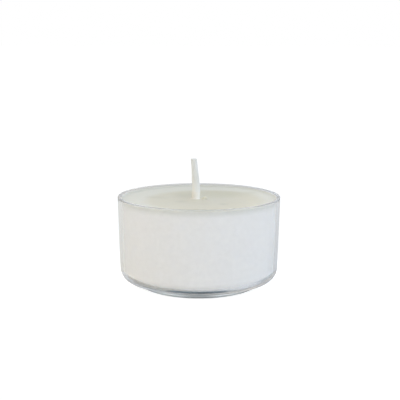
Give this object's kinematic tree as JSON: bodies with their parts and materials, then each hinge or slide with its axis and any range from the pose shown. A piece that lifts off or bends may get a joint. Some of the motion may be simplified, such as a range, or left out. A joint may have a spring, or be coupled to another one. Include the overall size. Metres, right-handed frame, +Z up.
{
  "type": "tea light candle",
  "caption": "Small round candle: white wax cast in a low clear plastic cup with a foot ring, and a short waxed wick held by a metal tab.",
  "frame": {"origin": "centre of the foot ring's lower face, on the surface that the candle stands on", "axes": "+Z up, along the cup's axis towards the wick's cut end. The wick leans towards -X. -Y faces the viewer."},
  "size_m": [0.038, 0.038, 0.0297],
  "materials": {
    "clear_cup": "clear moulded plastic, glossy",
    "wax": "cast paraffin wax, satin, slightly translucent",
    "wick": "braided cotton, waxed stiff",
    "tab_steel": "thin tinned sheet steel"
  },
  "bodies": {
    "root": {"cup": "clear_cup", "wax": "wax", "wick": "wick", "wick_tab": "tab_steel"}
  },
  "joints": []
}
